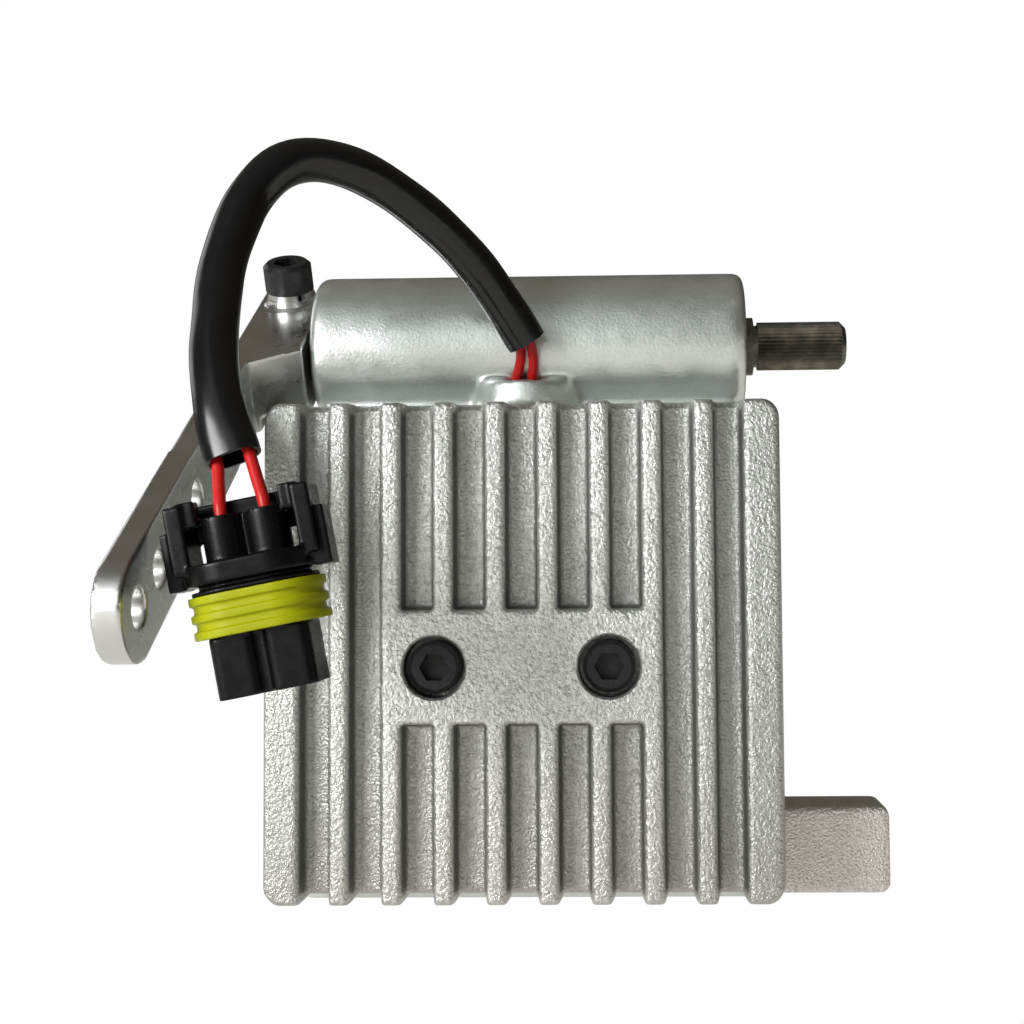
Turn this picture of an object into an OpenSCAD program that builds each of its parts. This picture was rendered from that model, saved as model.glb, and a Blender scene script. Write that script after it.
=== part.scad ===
// Engine governor actuator: a finned, spring-returned electromagnet that turns a lever shaft.
// The origin is the middle of the rear mounting face. +X runs along the shaft, away from the lever,
// +Y points into the engine bracket and +Z is up.

/* [Cover] */
// Width over the two edge fins
cover_w = 100; // [90:1:110]
// Length of the fins from top to bottom
cover_h = 95.6; // [88:0.2:104]
// Number of cooling fins
fin_count = 10; // [8:1:11]
// Distance between fin centres
fin_pitch = 10; // [8.6:0.1:10.2]
// Height of the fins above the floor between them
fin_h = 5; // [3.5:0.1:6]
// Width of a fin at its crest
fin_top_w = 3.4; // [2.6:0.1:3.8]
// Width of a fin at its foot
fin_base_w = 5; // [4.2:0.1:5.4]
// Width of the two edge fins
edge_fin_w = 8; // [6:0.2:9]
// Radius along a fin's crest
fin_round = 0.7; // [0.3:0.05:0.9]
// Radius at a fin's foot
fin_fillet = 0.7; // [0.3:0.05:0.9]
// How far the fins stand past the plate at the top and the bottom
fin_overhang = 1.2; // [0.4:0.1:2]
// Height by which the plate stands past the fins at the top
plate_lip = 0.2; // [0.1:0.1:0.4]
// Thickness of the plate behind the fins
plate_t = 4; // [3:0.1:6]
// Height of the flat pad that carries the two screws
pad_h = 20.7; // [17:0.1:26]
// Height of the pad's middle above the cover's middle
pad_z = -3; // [-8:0.5:6]
// Corner radius of the cover seen from the front
cover_corner_r = 3.6; // [1:0.2:5]

/* [Housing] */
// Depth from the fin crests to the rear mounting face
body_depth = 52; // [50:0.5:60]
// Width of the housing box
box_w = 96; // [90:1:98]
// Height of the housing box above the middle
box_top = 46.6; // [44:0.1:47]
// Depth of the housing box below the middle
box_bottom = 47; // [46:0.1:47.4]
// Wall of the housing box
box_wall = 5; // [4:0.1:7]
// Thickness of the rear wall
back_wall = 8.5; // [7.5:0.1:10]
// Corner radius of the box
box_corner_r = 4; // [2:0.2:6]
// Height of the base rail's underside below the middle
base_bottom = 50.5; // [49:0.1:54]
// Depth of the base rail
base_depth = 33; // [26:0.5:34]
// Height of the base rail and of the side foot
foot_h = 17.4; // [14:0.2:20]
// How far the side foot stands out from the middle
foot_reach = 72.8; // [64:0.2:84]
// Depth of the side foot
foot_depth = 15; // [11:0.5:18]
// Distance of the side foot's rear from the mounting face
foot_back = 15; // [10:0.5:17]
// Outer diameter of the shaft barrel
barrel_d = 30.4; // [29:0.1:30.4]
// Position of the barrel's lever end
barrel_x0 = -43.4; // [-44:0.1:-41]
// Length of the barrel
barrel_len = 88; // [84:0.5:90]
// Bore of the barrel
barrel_bore = 21; // [20:0.1:22]
// Radius on the barrel's end edges
barrel_round = 2; // [0.5:0.1:2.5]
// Outer diameter of the lead boss
boss_d = 21.8; // [17:0.2:22]
// Height of the lead boss above the middle
boss_top = 53.2; // [51:0.1:53.4]
// Distance by which the lead boss's rim stands out over the cover
boss_lip = 1; // [0.5:0.1:3]
// Width between the mounting holes
mount_w = 70; // [60:1:74]
// Height between the mounting holes
mount_h = 60; // [54:1:64]
// Tapping diameter of the mounting holes
mount_d = 6.8; // [5:0.1:8.5]
// Depth of the mounting holes
mount_depth = 13; // [10:0.5:13]

/* [Shaft] */
// Height of the shaft axis above the middle
axis_z = 61.5; // [61:0.1:64]
// Distance of the shaft axis in front of the mounting face
axis_back = 25.75; // [25:0.25:29]
// Diameter of the shaft in its bushes
shaft_d = 12; // [11:0.1:13]
// Outer diameter of the serrated shaft ends
serration_d = 10; // [9:0.1:10.6]
// Depth of the serrations
serration_depth = 0.45; // [0.25:0.05:0.6]
// Number of serrations round the shaft
serration_count = 36; // [24:1:40]
// Position of the free shaft end
shaft_right = 65.8; // [58:0.2:76]
// Distance that the shaft stands past the lever
shaft_proud = 1; // [0.5:0.1:2]
// Length of a bush
bush_len = 12; // [8:0.5:13]
// Length of a shaft seal
seal_len = 5; // [3:0.5:6]
// Angle through which the shaft turns
travel = 25; // [15:1:25]

/* [Lever] */
// Angle of the lever below the horizontal at rest
lever_angle = 31.5; // [15:0.5:40]
// Distance from the shaft axis to the outermost linkage hole
lever_reach = 98; // [88:0.5:115]
// Number of linkage holes
hole_count = 4; // [2:1:5]
// Distance between linkage holes
hole_pitch = 11.5; // [9.5:0.1:12]
// Diameter of the linkage holes
hole_d = 6.6; // [5:0.1:7.5]
// Thickness of the lever's arm
arm_t = 4.5; // [3:0.1:6]
// Width of the arm at its tip
arm_tip_w = 17; // [14:0.2:19]
// Width of the arm at its hub
arm_root_w = 14.8; // [14:0.2:16]
// Length of the hub along the shaft
hub_len = 13.8; // [12:0.1:15]
// Length of the hub in front of the shaft axis, at its end toward the barrel
hub_front = 16; // [12:0.5:18]
// Length of the slope that leads from the hub to the arm
hub_slope = 6.8; // [4:0.1:10]
// Gap between the hub and the barrel
hub_gap = 0.8; // [0.5:0.1:3]
// Distance of the clamp screw behind the shaft axis
clamp_offset = 9.2; // [8.8:0.1:11]
// Height of the raised seat under the clamp screw's washers
seat_h = 0.8; // [0.3:0.1:2]
// Width of the slit in the clamp
slit_w = 1.6; // [0.8:0.1:2.4]

/* [Magnet] */
// Outer radius of the swinging armature
armature_r = 42; // [38:0.5:42]
// Half angle of the armature's shoe
shoe_half_angle = 10; // [8:0.5:10]
// Width of the armature along the shaft
armature_w = 22; // [16:1:26]
// Air gap between the armature and the core
air_gap = 0.6; // [0.4:0.1:1.5]
// Half width of the laminated core along the shaft
core_half_w = 24; // [22:0.5:26]
// Width of the core's outer limbs
core_limb = 6; // [5:0.1:7]
// Width of the core's middle limb
core_middle = 11; // [9:0.2:12]
// Height of the core's yoke
core_yoke = 10; // [8:0.5:12]

/* [Fasteners] */
// Distance between the two cover screws
screw_spacing = 33.4; // [26:0.2:36]
// Nominal thread diameter of the cover screws and the clamp screw
screw_d = 6; // [5:0.5:6]
// Counterbore of the cover screws
counterbore_d = 11.8; // [10.8:0.1:13]
// Nominal thread diameter of the core screws
core_screw_d = 5; // [4:0.5:5]

/* [Harness] */
// Outer diameter of the black sleeve
sleeve_d = 7.8; // [7:0.1:8.4]
// Outer diameter of a lead wire
wire_d = 2; // [1.6:0.1:2.2]
// Distance between the two wires where they leave the boss
wire_spacing = 3.2; // [2.8:0.1:3.6]
// Width of the connector's seal
seal_w = 21.4; // [21:0.1:24]
// Depth of the connector's seal
seal_depth = 15; // [14:0.1:16]
// Height of the connector's seal
seal_h = 6.6; // [5.6:0.1:7.4]

/* [Hidden] */
$fn = 64;

// Clearances and small common sizes
fit = 0.05;
gasket_t = 0.5;
thread_clear = 0.25;
seat_gap = 0.1;
edge_chamfer = 0.8;
boss_floor = 1.5;
overlap = 1;

// Planes along Y
crest_y = -body_depth;
floor_y = crest_y + fin_h;
cover_back_y = floor_y + plate_t;
box_front_y = cover_back_y + gasket_t;
cavity_back_y = -back_wall;
axis_y = -axis_back;

// Inside of the box
cavity_w = box_w - 2 * box_wall;
cavity_top = box_top - box_wall;
cavity_bottom = box_bottom - box_wall;
cavity_corner_r = max(box_corner_r - 2, 1);

// Barrel and shaft along X
barrel_x1 = barrel_x0 + barrel_len;
hub_x1 = barrel_x0 - hub_gap;
hub_x0 = hub_x1 - hub_len;
shaft_left = hub_x0 - shaft_proud;
journal_x0 = barrel_x0 - hub_gap / 2;
journal_x1 = barrel_x1 + 2;
bush_left_x = barrel_x0 + seal_len;
bush_right_x = barrel_x1 - seal_len - bush_len;
saddle_half = barrel_d / 2 - 5;

// Lead boss
boss_y = box_front_y + boss_d / 2 + seat_gap;
lead_y = box_front_y + 2.6;
rim_z = cover_h / 2 + plate_lip + 0.4;
grommet_r = wire_d / 2 + 0.9;
grommet_h = boss_top - cavity_top;

// Retaining rings
ring_t = 1;
ring_groove_d = shaft_d - 1;
ring_outer_d = shaft_d + 4.4;
ring_gap = 0.2;

// Return spring
spring_wire = 1.8;
spring_turns = 4;
spring_bend = 2.4;
spring_mean_r = (shaft_d / 2 + barrel_bore / 2) / 2;
spring_x0 = bush_left_x + bush_len + ring_gap + ring_t + 1.2;
spring_x1 = -armature_w / 2 - spring_bend - spring_wire / 2;
spring_leg = barrel_bore / 2;
spring_hook = spring_bend + 5;
spring_hook_angle = 14;

// Armature
armature_hub_r = barrel_bore / 2 - 0.5;
armature_arm_w = 8;
shoe_inner_r = armature_r - 12;
pin_d = 4;
slot_half = armature_w / 2 + 1;

// Magnet core
pole_r = armature_r + air_gap;
core_y0 = cover_back_y;
core_y1 = cavity_back_y;
core_mid_y = (core_y0 + core_y1) / 2;
core_z0 = -cavity_bottom + 1.5;
core_window_z0 = core_z0 + core_yoke;
core_top = axis_z - pole_r + 8;
window_top = axis_z - pole_r - 2;
bobbin_wall = 1;
bobbin_z0 = core_window_z0 + seat_gap;
bobbin_z1 = window_top - 1;
window_w = (core_y1 - core_y0 - 2 * core_limb - core_middle) / 2;
bobbin_out = window_w - 0.3;
core_screw_x = 12;
coil_lead_x = 16;
coil_lead_y = core_y0 + core_limb + 3;
core_screw_z = core_z0 + core_yoke / 2;

// Cap screws
head_d = screw_d * 10 / 6;
head_h = screw_d;
socket_d = screw_d * 5 / 6;
cover_head_top = crest_y + 0.6;
cover_screw_len = plate_t + fin_h - head_h - 0.6 + core_limb - 0.5;
core_head_d = core_screw_d * 1.7;
core_head_h = core_screw_d;

// Lever washers
washer_t = 1.2;
washer_d = screw_d * 10.4 / 6;
lock_t = 1.3;
lock_d = screw_d * 9.9 / 6;
clamp_seat = arm_root_w / 2 + seat_h;
clamp_len = clamp_seat + arm_root_w / 2 + lock_t + washer_t - 2;
hub_back = clamp_offset + washer_d * 0.8;
hub_relief = 4.4;

// Connector
connector_pos = [-36.3, -104, 10.1];
connector_tilt = -10.8;
plug_w = 15.6;
plug_depth = 10.6;
plug_h = 9.6;
plug_groove = 1.4;
flange_h = 3.2;
flange_z = seal_h / 2 + 1.6;
flange_w = 20.8;
flange_depth = 14.6;
tower_x = 3.5;
tower_r = 3.4;
tower_h = 7.1;
tower_top = flange_z + flange_h + tower_h;
socket_w = 5;
wire_plug_h = 5;
wing_x = 8.6;
wing_t = 2.8;
wing_h = 10.8;
wing_depth = 8;
bar_t = 1.5;

// Route of the sleeve from the boss to the connector
sleeve_path = [[1, -45.5, 60], [-3, -48, 66.5], [-9, -52, 74.8], [-16, -57, 81.6], [-23, -62, 86.5],
    [-29.5, -67, 89.3], [-36, -71, 89.8], [-41, -75, 87.2], [-45, -78, 81.5], [-47, -81.5, 74.7],
    [-48, -85.5, 66.8], [-47.6, -90, 58.5], [-46.6, -94.5, 50], [-44.8, -98.5, 41.5], [-42.4, -100.8, 33.6]];

// Points on an arc of radius r about c, from angle a0 to a1
function arc(c, r, a0, a1, n = 3) =
    [for (i = [0 : n]) c + r * [cos(a0 + (a1 - a0) * i / n), sin(a0 + (a1 - a0) * i / n)]];

// Right half of a rib's outline from the crest down to the floor at height 0
function rib_side(top, base, h, r, f) =
    let (slope = base - top)
    let (wall = norm([slope, h]))
    let (lean = atan2(slope, h))
    let (crest_u = base - (r * wall + (h - r) * slope) / h)
    let (foot_u = base + f * (wall - slope) / h)
    concat(arc([crest_u, h - r], r, 90, lean), arc([foot_u, f], f, 180 + lean, 270));

function flipped(points) = [for (i = [len(points) - 1 : -1 : 0]) [-points[i][0], points[i][1]]];

// Whole outline of a rib, with a root that reaches into the plate
function rib(top, base, h, r, f, root) =
    let (side = rib_side(top, base, h, r, f))
    let (last = side[len(side) - 1][0])
    concat(flipped(side), side, [[last, -root], [-last, -root]]);

function fin_x(i) = (i - (fin_count - 1) / 2) * fin_pitch;

function unit(v) = v / norm(v);

// Direction of a path at point i
function heading(p, i) = unit(p[min(i + 1, len(p) - 1)] - p[max(i - 1, 0)]);

// Ring of n points round a path's point i
function ring(p, i, r, n) =
    let (t = heading(p, i))
    let (side = unit(cross(t, [0, 1, 0])))
    let (up = cross(side, t))
    [for (k = [0 : n - 1]) p[i] + r * (cos(360 * k / n) * side + sin(360 * k / n) * up)];

// Closed tube along a path
module tube(p, r, n) {
    rings = len(p);
    points = [for (i = [0 : rings - 1]) each ring(p, i, r, n)];
    tube_skin(points, rings, n);
}

// Closed skin over rings of n points
module tube_skin(points, rings, n) {
    walls = [for (i = [0 : rings - 2]) for (k = [0 : n - 1])
        [i * n + k, i * n + (k + 1) % n, (i + 1) * n + (k + 1) % n, (i + 1) * n + k]];
    first = [for (k = [n - 1 : -1 : 0]) k];
    last = [for (k = [0 : n - 1]) (rings - 1) * n + k];
    polyhedron(points, concat([first], walls, [last]));
}

// Box from a low corner to a high corner
module span(low, high) {
    translate(low)
        cube(high - low);
}

// Turns a shape made along Z so that it runs along +X
module along_x() {
    rotate([0, 90, 0])
        children();
}

// Turns a shape made along Z so that it runs along +Y
module along_y() {
    rotate([-90, 0, 0])
        children();
}

module on_axis() {
    translate([0, axis_y, axis_z])
        children();
}

// Flat outline in X and Z with rounded corners
module rounded(x0, z0, x1, z1, r) {
    translate([x0 + r, z0])
        square([x1 - x0 - 2 * r, z1 - z0]);
    translate([x0, z0 + r])
        square([x1 - x0, z1 - z0 - 2 * r]);
    for (x = [x0 + r, x1 - r], z = [z0 + r, z1 - r])
        translate([x, z])
            circle(r);
}

// Solid with a rounded front outline between two planes along Y
module slab(x0, z0, x1, z1, r, y0, y1) {
    translate([0, y1, 0])
        rotate([90, 0, 0])
            linear_extrude(y1 - y0)
                rounded(x0, z0, x1, z1, r);
}

// Obround outline centred on the origin
module obround(w, d) {
    square([w - d, d], center = true);
    for (x = [-1, 1])
        translate([x * (w - d) / 2, 0])
            circle(d / 2);
}

// Cap screw along Z, with the underside of its head at height 0
module cap_screw(d, head, h, socket, shank) {
    difference() {
        union() {
            translate([0, 0, -shank])
                cylinder(d = d, h = shank + overlap / 2);
            rotate_extrude()
                polygon([[0, 0], [head / 2, 0], [head / 2, h - edge_chamfer],
                    [head / 2 - edge_chamfer, h], [0, h]]);
        }
        translate([0, 0, h / 2])
            cylinder(d = socket * 2 / sqrt(3), h = h, $fn = 6);
    }
}

// One straight length of ribs' outline along Z, with its crest towards the front
module fin_run(outline, x, half) {
    translate([x, floor_y, -half])
        linear_extrude(2 * half)
            mirror([0, 1])
                polygon(outline);
}

module finned_cover() {
    plate_half = cover_h / 2 - fin_overhang;
    edge_x = cover_w / 2 - edge_fin_w / 2;
    inner = rib(fin_top_w / 2, fin_base_w / 2, fin_h, fin_round, fin_fillet, plate_t / 2);
    bare = rib(fin_top_w / 2, fin_base_w / 2, fin_h, fin_round, 0.01, plate_t / 2);
    edge_lean = (fin_base_w - fin_top_w) / 2;
    edge = rib(edge_fin_w / 2 - edge_lean, edge_fin_w / 2, fin_h, fin_round, 0.01, plate_t / 2);
    pad = rib(pad_h / 2, pad_h / 2 + edge_lean, fin_h, fin_round, fin_fillet, plate_t / 2);
    pad_half = (fin_pitch * 5) / 2;
    color("silver")
        difference() {
            union() {
                slab(-cover_w / 2, -plate_half, cover_w / 2, cover_h / 2 + plate_lip, cover_corner_r,
                    floor_y, cover_back_y);
                intersection() {
                    slab(-cover_w / 2, -cover_h / 2, cover_w / 2, cover_h / 2, cover_corner_r,
                        crest_y - overlap, cover_back_y);
                    union() {
                        for (i = [1 : fin_count - 2]) {
                            fin_run(inner, fin_x(i), plate_half - 0.5);
                            fin_run(bare, fin_x(i), cover_h / 2);
                        }
                        for (side = [-1, 1])
                            fin_run(edge, side * edge_x, cover_h / 2);
                        translate([-pad_half, floor_y, pad_z])
                            along_x()
                                linear_extrude(2 * pad_half)
                                    rotate(-90)
                                        polygon(pad);
                    }
                }
            }
            for (side = [-1, 1])
                translate([side * screw_spacing / 2, 0, pad_z]) {
                    translate([0, crest_y - overlap, 0])
                        along_y()
                            cylinder(d = counterbore_d, h = head_h + 0.6 + overlap);
                    translate([0, crest_y, 0])
                        along_y()
                            cylinder(d = screw_d + 2 * thread_clear, h = body_depth);
                }
        }
}

module cover_gasket() {
    land = box_wall - 1;
    color("dimgray")
        difference() {
            slab(-box_w / 2, -box_bottom + 0.6, box_w / 2, box_top, box_corner_r, cover_back_y, box_front_y);
            slab(-box_w / 2 + land, -box_bottom + land + 0.6, box_w / 2 - land, box_top - land,
                cavity_corner_r, cover_back_y - overlap, box_front_y + overlap);
        }
}

module cover_screws() {
    color("black")
        for (side = [-1, 1])
            translate([side * screw_spacing / 2, cover_head_top + head_h, pad_z])
                rotate([90, 0, 0])
                    cap_screw(screw_d - 2 * thread_clear, head_d, head_h, socket_d, cover_screw_len);
}

// Barrel with rounded end edges
module barrel_form() {
    r = barrel_d / 2;
    side = concat([[0, 0]], arc([r - barrel_round, barrel_round], barrel_round, -90, 0),
        arc([r - barrel_round, barrel_len - barrel_round], barrel_round, 0, 90), [[0, barrel_len]]);
    translate([barrel_x0, axis_y, axis_z])
        along_x()
            rotate_extrude()
                polygon(side);
}

// Base rail under the rear of the box, with the foot that stands out to the right
module base_form() {
    rail_w = box_w / 2;
    slab(-rail_w, -base_bottom, rail_w, -base_bottom + foot_h, box_corner_r, -base_depth, 0);
    slab(0, -base_bottom, foot_reach, -base_bottom + foot_h, 1.6, -foot_back - foot_depth, -foot_back);
}

module housing() {
    color("lightgray")
        difference() {
            union() {
                slab(-box_w / 2, -box_bottom, box_w / 2, box_top, box_corner_r, box_front_y, 0);
                barrel_form();
                span([barrel_x0 + barrel_round, axis_y - saddle_half, box_top - box_wall],
                    [barrel_x1 - barrel_round, axis_y + saddle_half, axis_z]);
                translate([0, boss_y, cavity_top])
                    cylinder(d = boss_d, h = boss_top - cavity_top);
                translate([0, boss_y - boss_lip, rim_z])
                    cylinder(d = boss_d, h = boss_top - rim_z);
                base_form();
            }
            difference() {
                slab(-cavity_w / 2, -cavity_bottom, cavity_w / 2, cavity_top, cavity_corner_r,
                    box_front_y - overlap, cavity_back_y);
                for (x = [-1, 1], z = [-1, 1])
                    translate([x * mount_w / 2, -mount_depth - boss_floor, z * mount_h / 2])
                        along_y()
                            cylinder(d = mount_d + 8, h = mount_depth);
            }
            on_axis()
                translate([barrel_x0 - overlap, 0, 0])
                    along_x()
                        cylinder(d = barrel_bore, h = barrel_len + 2 * overlap);
            span([-slot_half, axis_y - saddle_half + 1, cavity_top - overlap],
                [slot_half, axis_y + saddle_half - 1, axis_z]);
            lead_hole();
            translate([spring_x0, axis_y + spring_mean_r, axis_z - spring_leg - 0.5])
                cylinder(d = spring_wire + 4 * fit, h = spring_leg + 0.5);
            for (x = [-1, 1], z = [-1, 1])
                translate([x * mount_w / 2, -mount_depth, z * mount_h / 2])
                    along_y()
                        cylinder(d = mount_d, h = mount_depth + overlap);
            for (x = [-1, 1])
                translate([x * core_screw_x, cavity_back_y - overlap, core_screw_z])
                    along_y()
                        cylinder(d = core_screw_d, h = back_wall - 1.5 + overlap);
        }
}

module lead_hole() {
    translate([0, lead_y, cavity_top - overlap])
        linear_extrude(grommet_h + 2 * overlap)
            obround(wire_spacing + 2 * grommet_r, 2 * grommet_r);
}

module lead_grommet() {
    color("dimgray")
        difference() {
            translate([0, lead_y, cavity_top])
                linear_extrude(grommet_h - 0.4)
                    obround(wire_spacing + 2 * grommet_r - 2 * fit, 2 * grommet_r - 2 * fit);
            for (side = [-1, 1])
                translate([side * wire_spacing / 2, lead_y, cavity_top - overlap])
                    cylinder(d = wire_d + 2 * fit, h = grommet_h + 2 * overlap);
        }
}

// Serrated outline of the shaft ends
module serration_outline() {
    tip = serration_d / 2;
    root = tip - serration_depth;
    polygon([for (i = [0 : 2 * serration_count - 1])
        (i % 2 == 0 ? tip : root) * [cos(180 * i / serration_count), sin(180 * i / serration_count)]]);
}

// Serrated length along X, with a bevelled free end
module serrated_end(x0, x1, free_right) {
    clear = serration_d / 2 + 0.5;
    length = x1 - x0;
    bevel = 1.7;
    outline = free_right
        ? [[0, 0], [clear, 0], [clear, length - bevel], [clear - bevel, length], [0, length]]
        : [[0, 0], [clear - bevel, 0], [clear, bevel], [clear, length], [0, length]];
    on_axis()
        translate([x0, 0, 0])
            along_x()
                intersection() {
                    linear_extrude(length)
                        serration_outline();
                    rotate_extrude()
                        polygon(outline);
                }
}

module output_shaft() {
    neck = serration_d - 2 * serration_depth - 0.4;
    color("dimgray")
        difference() {
            union() {
                on_axis()
                    translate([journal_x0, 0, 0])
                        along_x()
                            cylinder(d = shaft_d, h = journal_x1 - journal_x0);
                on_axis()
                    translate([shaft_left + 2, 0, 0])
                        along_x()
                            cylinder(d = neck, h = shaft_right - shaft_left - 4);
                serrated_end(shaft_left, journal_x0 - 1, false);
                serrated_end(journal_x1 + 1, shaft_right, true);
            }
            for (x = [bush_left_x + bush_len + ring_gap, bush_right_x - ring_gap - ring_t])
                on_axis()
                    translate([x - fit, 0, 0])
                        along_x()
                            difference() {
                                cylinder(d = shaft_d + 2, h = ring_t + 2 * fit);
                                cylinder(d = ring_groove_d, h = ring_t + 2 * fit);
                            }
            on_axis()
                rotate([travel / 2, 0, 0])
                    translate([0, 0, -shaft_d])
                        cylinder(d = pin_d, h = 2 * shaft_d);
        }
}

// Carries a shape from the lever's own plane to its place. There X runs out along the arm, Y is square
// to it on the screw's side, and Z runs along the shaft away from the barrel.
module on_lever() {
    c = cos(lever_angle);
    s = sin(lever_angle);
    translate([hub_x1, axis_y, axis_z])
        multmatrix([[0, 0, -1, 0], [-c, -s, 0, 0], [-s, c, 0, 0], [0, 0, 0, 1]])
            children();
}

// Tapered arm from the hub to the rounded tip
module lever_side() {
    r0 = arm_root_w / 2;
    r1 = arm_tip_w / 2 - fit;
    bevel = 2;
    translate([lever_reach, 0])
        circle(d = arm_tip_w);
    polygon([[bevel - hub_back, r0], [lever_reach, r1], [lever_reach, -r1],
        [bevel - hub_back, -r0], [-hub_back, bevel - r0], [-hub_back, r0 - bevel]]);
}

// Outline of the lever from above: the thick hub, its slope and the thin arm
module lever_top() {
    step = hub_len - arm_t;
    past = arm_tip_w;
    polygon([[-hub_back - past, -past], [hub_front - past * hub_slope / step, -past],
        [hub_front + hub_slope, step], [lever_reach + past, step],
        [lever_reach + past, hub_len + past], [-hub_back - past, hub_len + past]]);
}

module lever() {
    step = hub_len - arm_t;
    color("silver")
        on_lever()
            difference() {
                union() {
                    intersection() {
                        linear_extrude(hub_len)
                            lever_side();
                        rotate([90, 0, 0])
                            linear_extrude(2 * arm_tip_w, center = true)
                                lever_top();
                    }
                    translate([-clamp_offset, clamp_seat - seat_h - 1, hub_len / 2])
                        rotate([-90, 0, 0])
                            cylinder(d1 = hub_len - 0.6, d2 = washer_d + 0.2, h = seat_h + 1);
                }
                translate([0, 0, -overlap])
                    cylinder(d = serration_d + 2 * fit, h = hub_len + 2 * overlap);
                translate([0, 0, -overlap])
                    linear_extrude(step - fit)
                        polygon([[hub_front / 2, -arm_root_w / 2 - 1], [hub_front / 2, -arm_root_w],
                            [hub_front + hub_slope + 1, -arm_root_w],
                            [hub_front + hub_slope + 1, hub_relief - arm_root_w / 2 - 1]]);
                translate([-hub_back - overlap, -slit_w / 2, -overlap])
                    cube([hub_back + overlap, slit_w, hub_len + 2 * overlap]);
                translate([-clamp_offset, -arm_root_w, hub_len / 2])
                    rotate([-90, 0, 0])
                        cylinder(d = screw_d + 2 * fit, h = 2 * arm_root_w);
                for (i = [0 : hole_count - 1])
                    translate([lever_reach - i * hole_pitch, 0, -overlap])
                        cylinder(d = hole_d, h = hub_len + 2 * overlap);
            }
}

// Places a shape on the clamp screw's axis, with height 0 on the washer seat
module on_clamp() {
    on_lever()
        translate([-clamp_offset, clamp_seat, hub_len / 2])
            rotate([-90, 0, 0])
                children();
}

module plain_washer() {
    color("silver")
        on_clamp()
            difference() {
                cylinder(d = washer_d, h = washer_t);
                translate([0, 0, -overlap])
                    cylinder(d = screw_d + 2 * thread_clear, h = washer_t + 2 * overlap);
            }
}

module lock_washer() {
    color("gainsboro")
        on_clamp()
            translate([0, 0, washer_t])
                difference() {
                    cylinder(d = lock_d, h = lock_t);
                    translate([0, 0, -overlap])
                        cylinder(d = screw_d + 2 * thread_clear, h = lock_t + 2 * overlap);
                    rotate(35)
                        translate([0, -0.4, -overlap])
                            cube([lock_d, 0.8, lock_t + 2 * overlap]);
                }
}

module clamp_screw() {
    color("black")
        on_clamp()
            translate([0, 0, washer_t + lock_t])
                cap_screw(screw_d - fit, head_d, head_h, socket_d, clamp_len);
}

// Plain ring along X between two diameters
module sleeve_ring(x, length, outer, inner) {
    on_axis()
        translate([x, 0, 0])
            along_x()
                difference() {
                    cylinder(d = outer, h = length);
                    translate([0, 0, -overlap])
                        cylinder(d = inner, h = length + 2 * overlap);
                }
}

module bush_left() {
    color("darkgoldenrod")
        sleeve_ring(bush_left_x, bush_len, barrel_bore, shaft_d + 2 * fit);
}

module bush_right() {
    color("darkgoldenrod")
        sleeve_ring(bush_right_x, bush_len, barrel_bore, shaft_d + 2 * fit);
}

module shaft_seal_left() {
    color("black")
        sleeve_ring(barrel_x0 + 0.4, seal_len - 0.4, barrel_bore, shaft_d + 2 * fit);
}

module shaft_seal_right() {
    color("black")
        sleeve_ring(barrel_x1 - seal_len, seal_len - 0.4, barrel_bore, shaft_d + 2 * fit);
}

module retaining_rings() {
    color("dimgray")
        for (x = [bush_left_x + bush_len + ring_gap, bush_right_x - ring_gap - ring_t])
            difference() {
                sleeve_ring(x, ring_t, ring_outer_d, ring_groove_d + 2 * fit);
                on_axis()
                    span([x - overlap, -1.5, 0], [x + ring_t + overlap, 1.5, barrel_bore]);
            }
}

// Point on a circle about the shaft axis
function round_axis(x, r, angle) = [x, axis_y + r * cos(angle), axis_z + r * sin(angle)];

// Torsion spring round the shaft, with a straight leg in the barrel and a bent leg in the armature
module return_spring() {
    steps = 20 * spring_turns;
    leg = [for (drop = [spring_leg, spring_leg / 2]) [spring_x0, axis_y + spring_mean_r, axis_z - drop]];
    coil = [for (i = [0 : steps])
        round_axis(spring_x0 + (spring_x1 - spring_x0) * i / steps, spring_mean_r, 18 * i)];
    hook = [round_axis(spring_x1 + 0.5, spring_mean_r, spring_hook_angle / 2 + 1),
        round_axis(spring_x1 + 1.6, spring_mean_r, spring_hook_angle - 1),
        round_axis(spring_x1 + 2.8, spring_mean_r, spring_hook_angle),
        round_axis(spring_x1 + spring_hook, spring_mean_r, spring_hook_angle)];
    color("gray")
        spring_tube(concat(leg, coil, hook), spring_wire / 2, 8);
}

// Tube round the shaft axis, with its rings turned towards that axis
module spring_tube(p, r, n) {
    rings = len(p);
    points = [for (i = [0 : rings - 1])
        let (t = heading(p, i))
        let (side = unit(cross(t, [0, p[i][1] - axis_y, p[i][2] - axis_z])))
        let (up = cross(side, t))
        for (k = [0 : n - 1]) p[i] + r * (cos(360 * k / n) * side + sin(360 * k / n) * up)];
    tube_skin(points, rings, n);
}

// Turns a shape made pointing down to the armature's rest position
module on_armature() {
    on_axis()
        rotate([travel / 2, 0, 0])
            children();
}

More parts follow.
